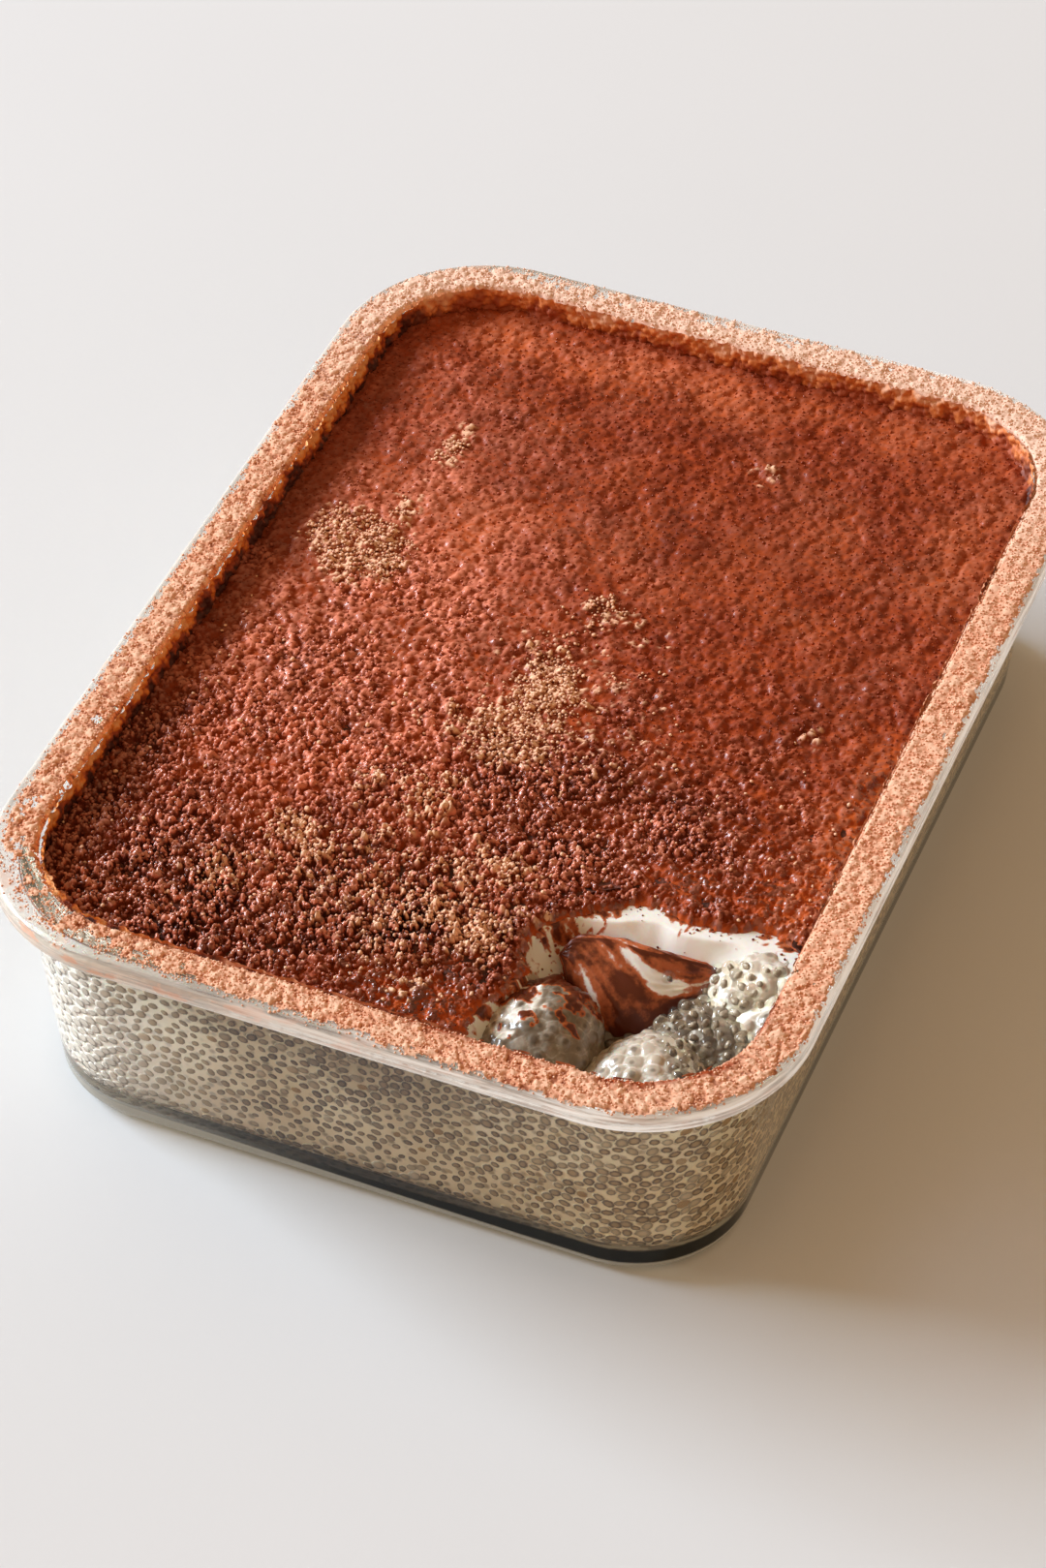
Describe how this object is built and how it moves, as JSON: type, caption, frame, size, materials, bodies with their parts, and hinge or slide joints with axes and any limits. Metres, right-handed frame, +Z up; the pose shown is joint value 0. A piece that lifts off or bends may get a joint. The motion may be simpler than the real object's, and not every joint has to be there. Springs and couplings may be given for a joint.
{
  "type": "chia pudding in a glass dish",
  "caption": "Chia pudding with cream and a cocoa crust, in a rectangular glass dish with a flat rim, a spoonful taken from one corner.",
  "frame": {"origin": "middle of the dish's flat underside", "axes": "+Z up out of the dish, +Y along its long side, +X along its short side; the spooned corner is at +X -Y"},
  "size_m": [0.15, 0.2076, 0.0516],
  "materials": {
    "dish_glass": "clear glass, very slightly green in its thick floor",
    "chia_pudding": "moist milk pudding full of swollen grey-brown seeds",
    "cream": "soft satin cream",
    "cocoa": "moist reddish-brown cocoa grains with drier tan crumbs",
    "chia_gel": "wet clear gel beads over dark seeds",
    "smeared_cream": "cream with cocoa smeared through it"
  },
  "bodies": {
    "root": {"dish": "dish_glass", "chia_pudding": "chia_pudding", "cream_layer": "cream", "cocoa_layer": "cocoa", "fallen_lump": "chia_pudding", "chia_mound": "chia_pudding", "cream_blob": "cream", "seed_cluster": "chia_gel", "cream_fold": "smeared_cream"}
  },
  "joints": []
}
